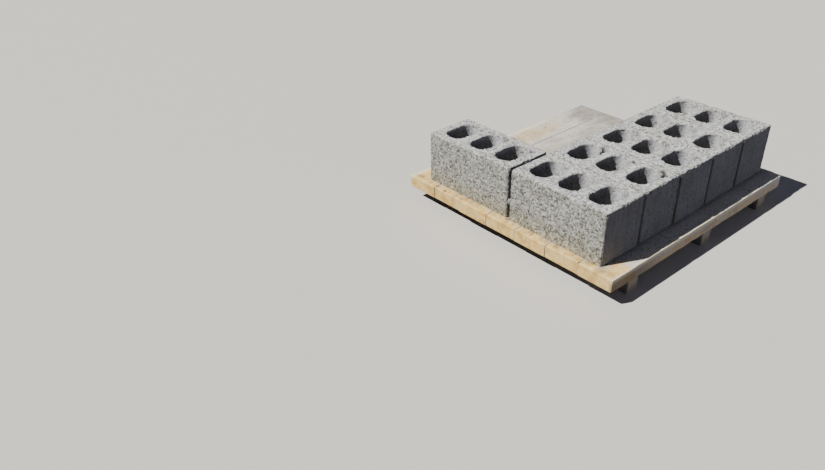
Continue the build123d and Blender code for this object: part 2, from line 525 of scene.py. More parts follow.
def distances_on_block(local):
    """How far each point is from its block's faces, arrises and cells, in millimetres."""
    x, y, z = local.T
    depth = BLOCK_HEIGHT - z
    from_side, from_end = BLOCK_HALF_X - np.abs(x), BLOCK_HALF_Y - np.abs(y)
    edge = np.maximum(np.minimum(from_side, from_end), 0)
    wall = cell_distance(x, y, depth)
    in_or_on = np.maximum(wall, 0)
    top, foot = np.maximum(depth, 0), np.maximum(z, 0)
    return {"depth": depth, "end": from_end, "wall": wall, "cell": in_or_on,
            "top arris": np.maximum(edge, top), "cell rim": np.maximum(in_or_on, top),
            "upright arris": np.maximum(from_side, from_end), "foot arris": np.maximum(edge, foot)}


print("block, mm:", BLOCK_SIZE)

# %% [markdown]
# ### Crumbled arrises and bites
# Every point sinks a little, by fine and medium lumps.  Where a grain fell out it sinks
# more, and near an arris it crumbles, most of all at the top.  The upright arrises are
# rounded into shoulders, twice as deep where two blocks stand side by side, which reads
# as a dark joint between them, and painted shade darkens that joint further.  A few bites
# are out of the front top arris.

# %% How far a block's skin sinks
# The random lumps: how wide they are, in millimetres, and what each adds to the block's seed
LUMPS = {"fine": (5.0, 0), "medium": (13.0, 11), "wide": (34.0, 23), "fallen": (7.0, 31),
         "flash": (9.0, 41), "dabs": (16.0, 53), "lip": (10.0, 61)}
SUNK, FINE_RELIEF, MEDIUM_RELIEF = 0.25, 0.35, 0.25             # millimetres
FINE_CRUMBLE, MEDIUM_CRUMBLE, WIDE_CRUMBLE = 1.2, 3.2, 5.5      # millimetres
FALLEN_DEPTH = 1.6
MOST_PROUD = 0.1
# How far in from each arris the crumbling reaches, in millimetres, and its share there
ARRISES = {"top arris": (9.0, 1.0), "cell rim": (5.0, 0.5),
           "upright arris": (7.0, 0.7), "foot arris": (6.0, 0.6)}
CRUMBLE_CURVE = 1.3
JOINT_REACH, JOINT_DEPTH = 8.0, 3.0
# Bites: the least and the greatest place across the front top arris, and the radius
BITES = ((-16, -8, 10.0), (2, 10, 8.0), (-80, 80, 7.0))
BITE_DEPTH, BITE_SLOPE = 4.5, 6.0


def crumble_on(skin):
    """How far an arris crumbles at each point, in millimetres."""
    crumble = FINE_CRUMBLE * np.abs(skin["fine"]) + MEDIUM_CRUMBLE * ramp(skin["medium"], 0.12, 0.5)
    return crumble + WIDE_CRUMBLE * ramp(skin["wide"] + 0.5 * skin["medium"], 0.42, 0.75)


def shoulders(x, near, joined):
    """How much of a rounded shoulder each point is in, from 0 to 1, and half as much with no neighbour."""
    neighboured = np.where(x < 0, joined[0], joined[1])
    return fade(near["upright arris"], JOINT_REACH) * (0.5 + 0.5 * neighboured)


def bites(local, near, skin, chance):
    """How deep in a bite each point lies, from 0 to 1."""
    x, y = local[:, 0], local[:, 1]
    bite = np.zeros(len(x))
    for least, greatest, radius in BITES:
        across = chance.uniform(least, greatest)
        reach = np.sqrt((x - across) ** 2 + (y + BLOCK_HALF_Y) ** 2 + near["depth"] ** 2)
        bite = np.maximum(bite, ramp(radius * (1 + 0.35 * skin["fine"]) - reach, 0, BITE_SLOPE))
    return bite


def sink(near, skin, crumble, joint, pits, bite):
    """How far each point is pushed in, in millimetres."""
    push = SUNK + FINE_RELIEF * skin["fine"] + MEDIUM_RELIEF * skin["medium"]
    for arris, (reach, share) in ARRISES.items():
        push = push + share * crumble * fade(near[arris], reach) ** CRUMBLE_CURVE
    push = push + JOINT_DEPTH * joint
    return np.maximum(push + pits + BITE_DEPTH * bite, -MOST_PROUD)


print("arrises that crumble:", list(ARRISES))

# %% [markdown]
# ### Flash and torn rims
# Where the mould's cores pass the top plate, a little mix squeezes out and stays as a
# low ragged flash round each cell's mouth, with a lip that leans over the cell.  At one
# corner of each mouth it tears away with some of the block, and the torn place throws
# the short dark hooks that show in the photograph.  Their dark is also painted into the
# torn hollow, as shadow.

# %% Raise the flash and tear the rims
HOOK = ((26, -42), (40, -42.5), (52, -41), (61, -37), (68, -29), (70, -21))      # from a cell's middle
TORN_WIDTH = (4.0, 10.0)
TORN_RAG, TORN_SLOPE, TORN_DEPTH = 1.8, 1.2, 10.0       # millimetres
FLASH_HEIGHT, FLASH_GRAIN = 2.6, 0.8
FLASH_OFFSET, FLASH_WIDTH = 2.2, 2.0                    # its crest from the cell's wall, and its breadth
LIP_LEAN, LIP_DEPTH, LIP_WALL = 5.0, 6.0, 1.5
TOP_SKIN, TOP_FACING = 1.0, 0.6                         # a point this near the top, that looks up this much


def torn_rims(local, skin, chance, torn_share):
    """How much is torn away at each point, from 0 to 1."""
    torn = np.zeros(len(local))
    for cell in CELLS:
        width = chance.uniform(*TORN_WIDTH)
        first = chance.integers(0, 3)
        last = chance.integers(4, 7)
        from_hook = line_distance(local[:, 0], local[:, 1] - cell * CELL_PITCH, HOOK[first:last])
        reach = width * (0.5 * torn_share + ramp(skin["dabs"], -0.5, 0.2)) + TORN_RAG * skin["fine"]
        torn = np.maximum(torn, torn_share * ramp(reach - from_hook, 0.0, TORN_SLOPE))
    return torn


def flash(near, skin):
    """The height of the flash at each point of the top, in millimetres."""
    crest = FLASH_HEIGHT * ramp(skin["flash"], 0.0, 0.5) + FLASH_GRAIN * np.maximum(skin["fine"], 0)
    return crest * np.exp(-((near["cell"] - FLASH_OFFSET) / FLASH_WIDTH) ** 2)


def lip(near, skin):
    """How far the flash leans over the cell at each point, in millimetres."""
    lean = LIP_LEAN * ramp(skin["lip"], 0.0, 0.4) * fade(near["depth"], LIP_DEPTH)
    return lean * (near["cell"] < LIP_WALL)


print("runs of a torn hook:", len(HOOK) - 1)

# %% [markdown]
# ### Roughen and colour a block
# One function puts this together for a block: it reads the points, pushes them along
# their normals, raises the flash, and then writes the three values that the concrete
# reads.  What crumbled or was broken open, and the shoulders where two blocks meet, are
# given darker painted shade, as it is in the photograph.

# %% Roughen a block
BLOCK_SEED = 700
BATCH_STEP = 0.13
# How strongly pits, crumbled arrises, torn rims, bites and joints are painted with shade
PIT_DARK, CRUMBLE_DARK, TORN_DARK, BITE_DARK, JOINT_DARK = 0.5, 0.08, 1.25, 0.5, 1.2
CRUMBLE_DARK_REACH = 6          # millimetres from a top arris or a cell's rim
JOINT_DARK_REACH = 16           # millimetres from the block's ends
MOST_DARK = 0.97
CELL_SKIN, MOUTH_FADE = 2.0, (1.5, 5.0)      # how near a cell's wall, and how deep, its own tone begins


def roughen_block(piece, seed, joined, torn_share):
    """Push a block's points about, and write what its material reads.

    `joined` gives whether a neighbour stands against the block's left and right side,
    and `torn_share`, from 0 to 1, how deep the rims of its cells are torn.
    """
    mesh = piece.data
    points = read_rows(mesh.vertices, "co", len(mesh.vertices))
    normals = read_rows(mesh.vertex_normals, "vector", len(mesh.vertices))
    low, high = points.min(0), points.max(0)
    middle = np.array(((low[0] + high[0]) / 2, (low[1] + high[1]) / 2, low[2]))
    local = (points - middle) / MM
    near = distances_on_block(local)
    skin = {name: field(local, width, seed + step) for name, (width, step) in LUMPS.items()}
    chance = np.random.default_rng(BLOCK_SEED + seed)

    pits = FALLEN_DEPTH * ramp(skin["fallen"], 0.42, 0.62)
    crumble = crumble_on(skin)
    joint = shoulders(local[:, 0], near, joined)
    bite = bites(local, near, skin, chance)
    moved = points - normals * sink(near, skin, crumble, joint, pits, bite)[:, None] * MM

    flat_top = (near["depth"] < TOP_SKIN) & (normals[:, 2] > TOP_FACING)
    torn = torn_rims(local, skin, chance, torn_share)
    moved[:, 2] += flat_top * (flash(near, skin) * (1 - torn) - TORN_DEPTH * torn) * MM
    moved[:, :2] += normals[:, :2] * lip(near, skin)[:, None] * MM
    write_points(mesh, moved)

    # Painted shade in the pits, crumbled arrises, torn rims, bites and the joints between blocks
    by_the_top = np.minimum(near["top arris"], near["cell rim"]) < CRUMBLE_DARK_REACH
    painted_hollow_shade = PIT_DARK * pits + CRUMBLE_DARK * crumble * by_the_top + TORN_DARK * torn * flat_top
    painted_hollow_shade = painted_hollow_shade + BITE_DARK * bite + JOINT_DARK * joint * (near["end"] < JOINT_DARK_REACH)
    write_value(mesh, "batch", np.full(len(points), BATCH_STEP * seed % 1.0))
    write_value(mesh, "pit", np.clip(painted_hollow_shade, 0, MOST_DARK))
    write_value(mesh, "in_cell", (near["wall"] < CELL_SKIN) * ramp(near["depth"], *MOUTH_FADE))
    shade_smooth(mesh)


print("block seeds start at", BLOCK_SEED + 1)

# %% [markdown]
# ### The six blocks
# Each block differs in its seed, in where its neighbours stand, and in how badly its
# rims are torn, which was read off the photograph: the second block is torn most.  A
# piece replaces its measured solid, which stays behind it for the physics.

# %% Make the six blocks
VOXEL = 3.0 * MM
BLOCKS = [f"front_block_{number}" for number in range(1, 6)] + ["back_block"]
JOINED = ((False, True), (True, True), (True, True), (True, True), (True, False), (False, False))
TORN = (0.15, 1.0, 0.35, 0.3, 0.2, 0.35)

for number, node in enumerate(BLOCKS):
    block = voxel_copy(node, "pressed_" + node, VOXEL)
    roughen_block(block, number + 1, JOINED[number], TORN[number])
    block.data.materials.clear()
    block.data.materials.append(concrete)
    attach(block, "root")
    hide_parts(node)
    print(block.name, "points:", len(block.data.vertices))

# %% [markdown]
# ## Sawn pine
# The deck and bearers are fresh softwood, rough from the saw: pale yellow, matt, with
# growth rings 3 to 4 mm apart, a few knots, and fine ridges that the blade left across
# the grain.  Wood is a dielectric with an IOR near 1.5 and high roughness.  A painted
# grain would not meet itself round an edge, so the rings are drawn in three dimensions:
# each point carries its place in the log it was sawn from, and the distance from the
# log's heart gives the ring.  Faces then show long grain and the ends show arcs.
# Four values in the mesh lay films over the wood: "dust" is cement dust from the blocks,
# a second darkens the wood with a grey, mostly painted shade at the blocks' feet, in the
# joints between boards, at the left of the front edge and low on the bearers, and partly
# a grey on the bare boards, "rubbed" the pale arrises that straps and gloves keep clean,
# and "age" the grey of older sawn faces.

# %% Wood: rings and knots
RING = 3.6 * MM
RING_WANDER = 22 * MM
KNOT_SPACING_ALONG = 330 * MM
KNOT_SPACING_ACROSS = 95 * MM
KNOT_BEND_REACH = 45 * MM
KNOT_BEND = 9 * MM

pine, shader = new_material("rough_sawn_pine", roughness=0.82, ior=1.5)
tree = pine.node_tree
log = add(tree, "Attribute", {"attribute_name": "log"}).outputs["Vector"]
dust = add(tree, "Attribute", {"attribute_name": "dust"})
age = add(tree, "Attribute", {"attribute_name": "age"})
damp = add(tree, "Attribute", {"attribute_name": "damp"})
rubbed = add(tree, "Attribute", {"attribute_name": "rubbed"})
place = add(tree, "TexCoord", {})
where = place.outputs["Object"]
facing = add(tree, "SeparateXYZ", {"Vector": place.outputs["Normal"]})

knot_map = add(tree, "VectorMath", {
    "operation": "MULTIPLY", 0: log, 1: (1 / KNOT_SPACING_ALONG, 1 / KNOT_SPACING_ACROSS, 0.0)})
knots = add(tree, "TexVoronoi", {
    "voronoi_dimensions": "2D", "Vector": knot_map.outputs["Vector"], "Scale": 1.0})
knot_offset = add(tree, "VectorMath", {
    "operation": "SUBTRACT", 0: knots.outputs["Position"], 1: knot_map.outputs["Vector"]})
knot_mm = add(tree, "VectorMath", {
    "operation": "MULTIPLY", 0: knot_offset.outputs["Vector"],
    1: (KNOT_SPACING_ALONG, KNOT_SPACING_ACROSS * 1.25, 0.0)})
knot_reach = add(tree, "VectorMath", {"operation": "LENGTH", 0: knot_mm.outputs["Vector"]})
bend = add(tree, "MapRange", {
    "interpolation_type": "SMOOTHERSTEP", "Value": knot_reach.outputs["Value"],
    "From Min": 0.0, "From Max": KNOT_BEND_REACH, "To Min": KNOT_BEND, "To Max": 0.0})
wander_map = add(tree, "VectorMath", {"operation": "MULTIPLY", 0: log, 1: (1.0, 6.0, 6.0)})
wander = add(tree, "TexNoise", {"Vector": wander_map.outputs["Vector"], "Scale": 2.2, "Detail": 3.0})
wander_mm = add(tree, "Math", {
    "operation": "MULTIPLY_ADD", 0: wander.outputs["Fac"], 1: RING_WANDER, 2: bend.outputs["Result"]})
across = add(tree, "VectorMath", {"operation": "MULTIPLY", 0: log, 1: (0.0, 1.0, 1.0)})
radius = add(tree, "VectorMath", {"operation": "LENGTH", 0: across.outputs["Vector"]})
grown = add(tree, "Math", {"operation": "ADD", 0: radius.outputs["Value"], 1: wander_mm.outputs["Value"]})
ring_number = add(tree, "Math", {"operation": "DIVIDE", 0: grown.outputs["Value"], 1: RING})
ring = add(tree, "Math", {"operation": "FRACT", 0: ring_number.outputs["Value"]})
ring_tone = add(tree, "ValToRGB", {
    "stops": [(0.0, "f6e0a2"), (0.55, "f2d590"), (0.86, "d4a45a"), (1.0, "f0d696")],
    "Fac": ring.outputs["Value"]})
print("wood nodes:", len(tree.nodes))

# %% [markdown]
# ### Fibres, knots and age
# Noise drawn out along the log gives the fibres.  A knot is dark where a point lies near
# its middle, but a knot runs across the log, so it fades out on the sawn ends.  Stains
# come and go over a hand's width, and the faces that lay in the weather have greyed.

# %% Wood: fibres, knots, stain and age
KNOT_CORE, KNOT_RIM = 7 * MM, 10 * MM
STAIN = 55 * MM

fibre_map = add(tree, "VectorMath", {"operation": "MULTIPLY", 0: log, 1: (18.0, 900.0, 900.0)})
fibres = add(tree, "TexNoise", {"Vector": fibre_map.outputs["Vector"], "Scale": 1.0, "Detail": 2.0})
fibre_tone = add(tree, "Mix", {
    **OVERLAY, "Factor": 0.3, MIX_A: ring_tone.outputs["Color"], MIX_B: fibres.outputs["Color"]})
endwise = add(tree, "Math", {"operation": "ABSOLUTE", 0: facing.outputs["X"]}).outputs["Value"]
clear_end = add(tree, "Math", {"operation": "MULTIPLY_ADD", 0: endwise, 1: -0.85, 2: 0.85}).outputs["Value"]
knot_core = add(tree, "MapRange", {
    "interpolation_type": "SMOOTHSTEP", "Value": knot_reach.outputs["Value"],
    "From Min": KNOT_CORE, "From Max": KNOT_RIM, "To Min": clear_end, "To Max": 0.0})
knotted = add(tree, "Mix", {
    **BLEND, "Factor": knot_core.outputs["Result"],
    MIX_A: fibre_tone.outputs[MIX_OUT], MIX_B: linear("8a5a30")})

stain = add(tree, "TexNoise", {"Vector": where, "Scale": 1 / STAIN, "Detail": 4.0, "Roughness": 0.65})
stain_tone = add(tree, "ValToRGB", {
    "stops": [(0.32, "b9a988"), (0.44, "ecdcba"), (0.55, "ffffff"), (0.66, "f2d092")],
    "Fac": stain.outputs["Fac"]})
stained = add(tree, "Mix", {
    **MULTIPLY, "Factor": 0.8, MIX_A: knotted.outputs[MIX_OUT], MIX_B: stain_tone.outputs["Color"]})
old_tone = add(tree, "Mix", {
    **MULTIPLY, "Factor": 0.45, MIX_A: linear("aeaba5"), MIX_B: stained.outputs[MIX_OUT]})
weathered = add(tree, "Mix", {
    **BLEND, "Factor": age.outputs["Fac"],
    MIX_A: stained.outputs[MIX_OUT], MIX_B: old_tone.outputs[MIX_OUT]})
print("wood nodes:", len(tree.nodes))

# %% [markdown]
# ### Dust, painted shade and rubbed arrises
# Cement dust lies in swept patches, so a noise stretched along the boards decides where
# the "dust" value lets it cover the wood, and small Voronoi cells make it gritty.  A dark
# grey, mostly painted shade, is multiplied over it, and the clean rubbed arrises come last.

# %% Wood: the films on it
SWEEP = (0.28, 1.0, 1.0)      # the dust's patches are drawn out along the boards
POWDER_PATCH = 20 * MM
GRIT = 3.5 * MM

swept = add(tree, "VectorMath", {"operation": "MULTIPLY", 0: where, 1: SWEEP})
powder = add(tree, "TexNoise", {
    "Vector": swept.outputs["Vector"], "Scale": 1 / POWDER_PATCH, "Detail": 6.0, "Roughness": 0.7})
powder_edge = add(tree, "Math", {"operation": "SUBTRACT", 0: 1.0, 1: dust.outputs["Fac"]})
cover = add(tree, "Math", {
    "operation": "SUBTRACT", 0: powder.outputs["Fac"], 1: powder_edge.outputs["Value"]})
covered = add(tree, "MapRange", {
    "interpolation_type": "SMOOTHSTEP", "Value": cover.outputs["Value"],
    "From Min": -0.30, "From Max": 0.30, "To Min": 0.0, "To Max": 0.92})
grit = add(tree, "TexVoronoi", {"Vector": where, "Scale": 1 / GRIT})
grit_tone = add(tree, "SeparateColor", {"Color": grit.outputs["Color"]})
powder_tone = add(tree, "ValToRGB", {
    "stops": [(0.0, "8f8d88"), (0.15, "c6c4be"), (1.0, "dfdcd6")], "Fac": grit_tone.outputs["Red"]})
dusted = add(tree, "Mix", {
    **BLEND, "Factor": covered.outputs["Result"],
    MIX_A: weathered.outputs[MIX_OUT], MIX_B: powder_tone.outputs["Color"]})
# Painted shade, mostly, with the bare boards' grey: a dark, slightly blue grey multiplied in
shade_and_grey_mixed = add(tree, "Mix", {
    **MULTIPLY, "Factor": damp.outputs["Fac"], MIX_A: dusted.outputs[MIX_OUT], MIX_B: linear("a8a9ac")})
rubbed_clean = add(tree, "Mix", {
    **BLEND, "Factor": rubbed.outputs["Fac"],
    MIX_A: shade_and_grey_mixed.outputs[MIX_OUT], MIX_B: linear("f6e6c2")})
tree.links.new(rubbed_clean.outputs[MIX_OUT], shader.inputs["Base Color"])
print("wood nodes:", len(tree.nodes))

# %% [markdown]
# ### Saw marks
# The blade leaves a ridge at each of its strokes, so noise that changes quickly along
# the log and slowly across it gives the bump, with the fibres and the dust on top.

# %% Wood: relief
SAW_RIDGE = 2.6 * MM
WOOD_RELIEF = 0.7 * MM

saw_map = add(tree, "VectorMath", {"operation": "MULTIPLY", 0: log, 1: (1 / SAW_RIDGE, 8.0, 8.0)})
saw = add(tree, "TexNoise", {"Vector": saw_map.outputs["Vector"], "Scale": 1.0, "Detail": 1.0})
saw_relief = add(tree, "Math", {
    "operation": "MULTIPLY_ADD", 0: saw.outputs["Fac"], 1: 0.45, 2: fibres.outputs["Fac"]})
grit_relief = add(tree, "Math", {
    "operation": "MULTIPLY_ADD", 0: powder.outputs["Fac"], 1: 0.8, 2: saw_relief.outputs["Value"]})
timber_bump = add(tree, "Bump", {
    "Strength": 0.7, "Distance": WOOD_RELIEF, "Height": grit_relief.outputs["Value"]})
tree.links.new(timber_bump.outputs["Normal"], shader.inputs["Normal"])
print("wood nodes:", len(tree.nodes))

# %% [markdown]
# ## The deck and its bearers
# A sawn board is a long rounded rectangle, but its arrises are bruised and splintered
# along the grain, and its ends are fuzzy.  A swept cross-section fits that best: one
# ring of points at each step along the board, joined to the next.  The same functions
# make boards and bearers, with the grain along the length.

# %% Sweep and wear a timber
BOARD_STEP = 8.0                            # millimetres between two rings of points
FACE_STEP = 5.0                             # and between two points of a ring
ARRIS_HOLD = 1.2                            # a face's outer points lie this near its arris, to keep it crisp
END_INSETS = ((0.0, 1.2), (0.6, 0.35))      # along from a sawn end, and how far the ring is drawn in there
END_FREE = 2.5                              # from here on it isn't drawn in
SPLIT, BRUISE, WEAR_REACH = 0.7, 1.9, 4.0   # millimetres
FUZZ = 0.5
CAP_SCALES = (0.8, 0.5, 0.2)                # the rings that close a sawn end
CAP_DISH = 0.4


def section(width, height, radius):
    """Points round a timber's cross-section, in millimetres, anticlockwise from the lower right."""
    half_w, half_h = width / 2 - radius, height / 2 - radius
    ring = []
    for cx, cy, start, run in ((half_w, -half_h, -90, 2 * half_h), (half_w, half_h, 0, 2 * half_w),
                               (-half_w, half_h, 90, 2 * half_h), (-half_w, -half_h, 180, 2 * half_w)):
        for turn in range(4):
            angle = math.radians(start + 30 * turn)
            ring.append((cx + radius * math.cos(angle), cy + radius * math.sin(angle)))
        count = round(run / FACE_STEP)
        heading = math.radians(start + 180)
        last = ring[-1]
        steps = [ARRIS_HOLD] + [run * k / count for k in range(1, count)] + [run - ARRIS_HOLD]
        ring += [(last[0] + math.cos(heading) * step, last[1] + math.sin(heading) * step) for step in steps]
    return np.array(ring)


def sweep(ring, width, height, length):
    """Points of a ring repeated along a timber, and the faces between one repeat and the next."""
    full = np.linspace(END_FREE, length - END_FREE, round(length / BOARD_STEP))
    stations = [*END_INSETS, *((along, 0.0) for along in full)]
    stations += [(length - along, inset) for along, inset in reversed(END_INSETS)]
    local = []
    for along, inset in stations:
        local += [(along, a * (1 - 2 * inset / width), b * (1 - 2 * inset / height)) for a, b in ring]
    faces = []
    for start in range(0, len(local) - len(ring), len(ring)):
        above = start + len(ring)
        for k in range(len(ring)):
            after = (k + 1) % len(ring)
            faces.append((start + k, start + after, above + after, above + k))
    return np.array(local), faces


def wear_down(local, rim, width, height, worn, seed):
    """Split and bruise the long arrises, let the faces wave, and fray the rings at the sawn ends."""
    arris = np.maximum(width / 2 - np.abs(local[:, 1]), 0) + np.maximum(height / 2 - np.abs(local[:, 2]), 0)
    grainwise = local * (0.12, 1.0, 1.0)
    split = 0.5 + 0.5 * field(grainwise, 5.0, seed)
    bruise = ramp(field(local * (0.25, 1.0, 1.0), 9.0, seed + 3), 0.28, 0.42)
    wear = worn * (SPLIT * split + BRUISE * bruise) * fade(arris, WEAR_REACH)
    wave = 0.4 * (0.5 + 0.5 * field(grainwise, 20.0, seed + 7)) + 0.3 * ramp(split, 0.55, 0.8)
    outward = local[:, 1:] / (width / 2, height / 2)
    outward = np.sign(outward) * np.abs(outward) ** 6
    local[:, 1:] -= outward * (wear + wave)[:, None]
    fuzz = 0.5 + 0.5 * field(local, 4.0, seed + 9)
    local[:rim, 0] += FUZZ * fuzz[:rim]
    local[-rim:, 0] -= FUZZ * fuzz[-rim:]


def close_ends(local, faces, rim, length):
    """Close both sawn ends with smaller and smaller rings.  Adds to the faces and gives all the points."""
    rows = [local]
    total = len(local)
    for start, end, flip in ((0, CAP_DISH, False), (total - rim, length - CAP_DISH, True)):
        outer = list(range(start, start + rim))
        for scale in CAP_SCALES:
            inner = list(range(total, total + rim))
            total += rim
            rows.append(np.column_stack((np.full(rim, end), local[start:start + rim, 1:] * scale)))
            for k in range(rim):
                quad = (outer[k], inner[k], inner[(k + 1) % rim], outer[(k + 1) % rim])
                faces.append(quad[::-1] if flip else quad)
            outer = inner
        faces.append(tuple(outer) if flip else tuple(outer[::-1]))
    return np.vstack(rows)


print("a ring of points every", BOARD_STEP, "mm")

# %% [markdown]
# ### Films on the timber
# Where the films lie was read off the photograph.  Dust is thick along the front strip,
# except at the clean near corner that the blocks' shadow misses, so there its edge is
# partly painted shade, and lies all over the bare boards but for a trodden line near the
# back.  The bare boards are greyer towards the front and the right.  Painted shade lies
# at the blocks' feet, at the left of the front edge and low on the bearers, and a mottled
# darker strip lies just inside the deck's left end.  The front and back arrises are
# rubbed pale.

# %% Lay the films
footprints = [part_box(node) for node in BLOCKS]
DECK_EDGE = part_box("deck_board_1")[0].y
# Places and widths on the deck, all in metres.  A pair in brackets is what a ramp runs between.
BARE_FADE_X, BARE_FADE_Y = 0.03, 0.02      # beyond the back block's right side, and before its front
STRIP_FADE = (0.012, 0.004)                # the front strip ends this far behind the front row's face
# The dust's edge at the clean near corner follows the blocks' shadow, so there it is partly painted shade
CLEAN_CORNER_TO_SHADE = (-0.45, -0.36)              # from the clean near corner into the dust, along X
# The last of these is how far the painted shade at a block's foot spreads
POWDER_SPREAD, DUST_SPREAD, FOOT_SHADE_SPREAD = 0.020, 0.012, 0.018      # outwards from a block's foot
TRODDEN_Y, TRODDEN_WIDTH = 0.40, 0.045
TRODDEN_END, TRODDEN_FADE = 0.30, 0.20     # where the line ends along X, and how long it takes
GREY_FRONT, GREY_RIGHT = (-0.32, -0.26), (0.32, 0.43)      # along -Y and along X
DECK_UNDERSIDE = (0.047, 0.052)            # from bearer to board, along Z
# Painted shade on the front edge towards its left end, and low on the bearers
FRONT_EDGE_SHADE = (0.20, 0.40)             # along -X
BEARER_SHADE_TOP, BEARER_SHADE_FADE = 0.040, 0.035      # from this height down, over this much
LEFT_STRIP_INNER, LEFT_STRIP_OUTER = (0.470, 0.476), 0.498      # along -X
# The rubbed arrises: how far in from the edge they reach, where they end along X, and how long that takes
RUBBED_WIDTH, RUBBED_END, RUBBED_FADE = 0.007, 0.42, 0.15
BACK_RUBBED_WIDTH, BACK_RUBBED_END, BACK_RUBBED_FADE = 0.020, 0.35, 0.25


def films_on(points):
    """Dust, painted shade and grey, rubbed and age values at points in metres on the deck and its bearers.
    """
    x, y, z = points.T
    nearest = np.full(len(points), FAR)
    for low, high in footprints:
        dx = np.maximum(np.maximum(low.x - x, x - high.x), 0)
        dy = np.maximum(np.maximum(low.y - y, y - high.y), 0)
        nearest = np.minimum(nearest, np.hypot(dx, dy))
    back_low, back_high = footprints[-1]
    front_y = footprints[0][0].y
    bare = ramp(x, back_high.x, back_high.x + BARE_FADE_X) * ramp(y, back_low.y - BARE_FADE_Y, back_low.y)
    front = ramp(-y, -front_y - STRIP_FADE[0], -front_y - STRIP_FADE[1])
    on_top = ramp(z, DECK_TOP - 0.02, DECK_TOP - 0.002)
    on_deck = ramp(z, *DECK_UNDERSIDE)
    outer_face = (np.abs(y) > abs(DECK_EDGE) - 0.002) * on_deck
    from_edge = abs(DECK_EDGE) - np.abs(y)
    at_foot = np.exp(-nearest / FOOT_SHADE_SPREAD)
    grainwise = points / MM * (0.35, 1.0, 1.0)
    mottle = ramp(field(grainwise, 16.0, 77) + 0.5 * field(grainwise, 6.0, 78), -0.15, 0.45)
    stray = 0.12 * field(grainwise, 40.0, 79)

    # Along the front strip the dust's edge near the corner follows the blocks' shadow: partly painted shade
    powdered = np.maximum(ramp(x, *CLEAN_CORNER_TO_SHADE), 0.8 * np.exp(-nearest / POWDER_SPREAD))
    powdered = front * np.maximum(powdered, 0.2)
    trodden = np.exp(-((y - TRODDEN_Y) / TRODDEN_WIDTH) ** 2)
    trodden = trodden * ramp(TRODDEN_END - x + stray, 0.0, TRODDEN_FADE)
    dust = 0.12 + 0.30 * np.exp(-nearest / DUST_SPREAD) + 0.60 * powdered + bare * (0.56 - 0.30 * trodden)
    dust = dust * (0.35 + 0.65 * on_top) * (0.6 + 0.4 * on_deck) + 0.24 * outer_face

    greyer_bare = np.maximum(0.45 * ramp(-y + 0.5 * stray, *GREY_FRONT), 0.7 * ramp(x + stray, *GREY_RIGHT))
    greyer_bare = greyer_bare + 0.18 * mottle
    # Painted shade at the blocks' feet, at the left of the front edge and low on the bearers, with the bare
    # boards' grey and a mottled darker strip inside the left end
    damp = np.maximum(0.85 * front * at_foot, bare * greyer_bare)
    damp = on_top * np.maximum(damp, (0.4 + 0.5 * mottle) * at_foot)
    damp = np.maximum(damp, 0.85 * outer_face * ramp(-x, *FRONT_EDGE_SHADE) * (y < 0))
    damp = np.maximum(damp, 0.8 * (1 - on_deck) * ramp(BEARER_SHADE_TOP - z, 0.0, BEARER_SHADE_FADE))
    left_strip = on_top * ramp(-x, *LEFT_STRIP_INNER) * ramp(LEFT_STRIP_OUTER + x, 0.0, 0.008)
    damp = np.maximum(damp, left_strip * (0.24 + 0.55 * mottle))

    rubbed = 0.85 * on_top * ramp(RUBBED_WIDTH - from_edge, 0.0, 0.005)
    rubbed = rubbed * ramp(RUBBED_END - x, 0.0, RUBBED_FADE)
    at_back = 0.6 * on_top * (y > 0) * ramp(BACK_RUBBED_WIDTH - from_edge, 0.0, 0.006)
    rubbed = np.maximum(rubbed, at_back * ramp(BACK_RUBBED_END - x, 0.0, BACK_RUBBED_FADE))
    age = 0.12 * outer_face + 0.4 * bare * on_top
    return {"dust": dust, "damp": damp, "rubbed": rubbed, "age": age}


print("front strip, mm:", round((footprints[0][0].y - DECK_EDGE) / MM))

# %% [markdown]
# ### Boards and bearers
# Each timber is swept, worn and closed in its own millimetres, and then laid where its
# measured solid is.  Its log lies somewhere beside it, by chance, so no two show the
# same rings.  The boards lie so close that grit and cement dust have filled the joints,
# so the inner sides of the boards are dusted, and darkened with painted shade, as well.
# The outer boards are worn most.

# %% Make the boards and the bearers
BOARDS = [f"deck_board_{number}" for number in range(1, 8)]
BEARERS = ["bearer_left", "bearer_middle", "bearer_right"]
# What a timber lies along, 0 for X and 1 for Y, what its width gains, its arris radius and its age
BOARD_KIND = {"along": 0, "spare": 1.8, "radius": 1.2, "age": 0.0}
BEARER_KIND = {"along": 1, "spare": 0.0, "radius": 2.0, "age": 0.95}
BOARD_SEED, BEARER_SEED = 21, 40
OUTER_WEAR, INNER_WEAR = 1.0, 0.25
HEART_LEAST, HEART_MOST = (-30, 25), (30, 95)      # millimetres from a timber's middle to its log's heart
LOG_SPACING = 2000                                 # millimetres along, from one log to the next
JOINT_DUST_AND_SHADE_REACH, JOINT_FILL = 4, 1.6              # millimetres in from a board's side
JOINT_END = 0.55                                   # the filling stops this short of the sawn ends
JOINTS_FROM = 0.01                                 # metres in from the deck's front and back edges


def fill_joints(films, local, world, width, length):
    """Dust the sides of the boards that face each other, and darken them with painted shade."""
    from_side = width / 2 - np.abs(local[:, 1])
    off_ends = np.abs(local[:, 0] - length / 2) < length / 2 - JOINT_END
    inner_side = (np.abs(world[:, 1]) < abs(DECK_EDGE) - JOINTS_FROM) * off_ends
    joint = fade(from_side, JOINT_DUST_AND_SHADE_REACH) * inner_side
    films["dust"] = np.maximum(films["dust"] + 0.3 * joint, inner_side * (from_side < JOINT_FILL))
    # Painted shade in the joints between boards
    films["damp"] = np.maximum(films["damp"], joint)


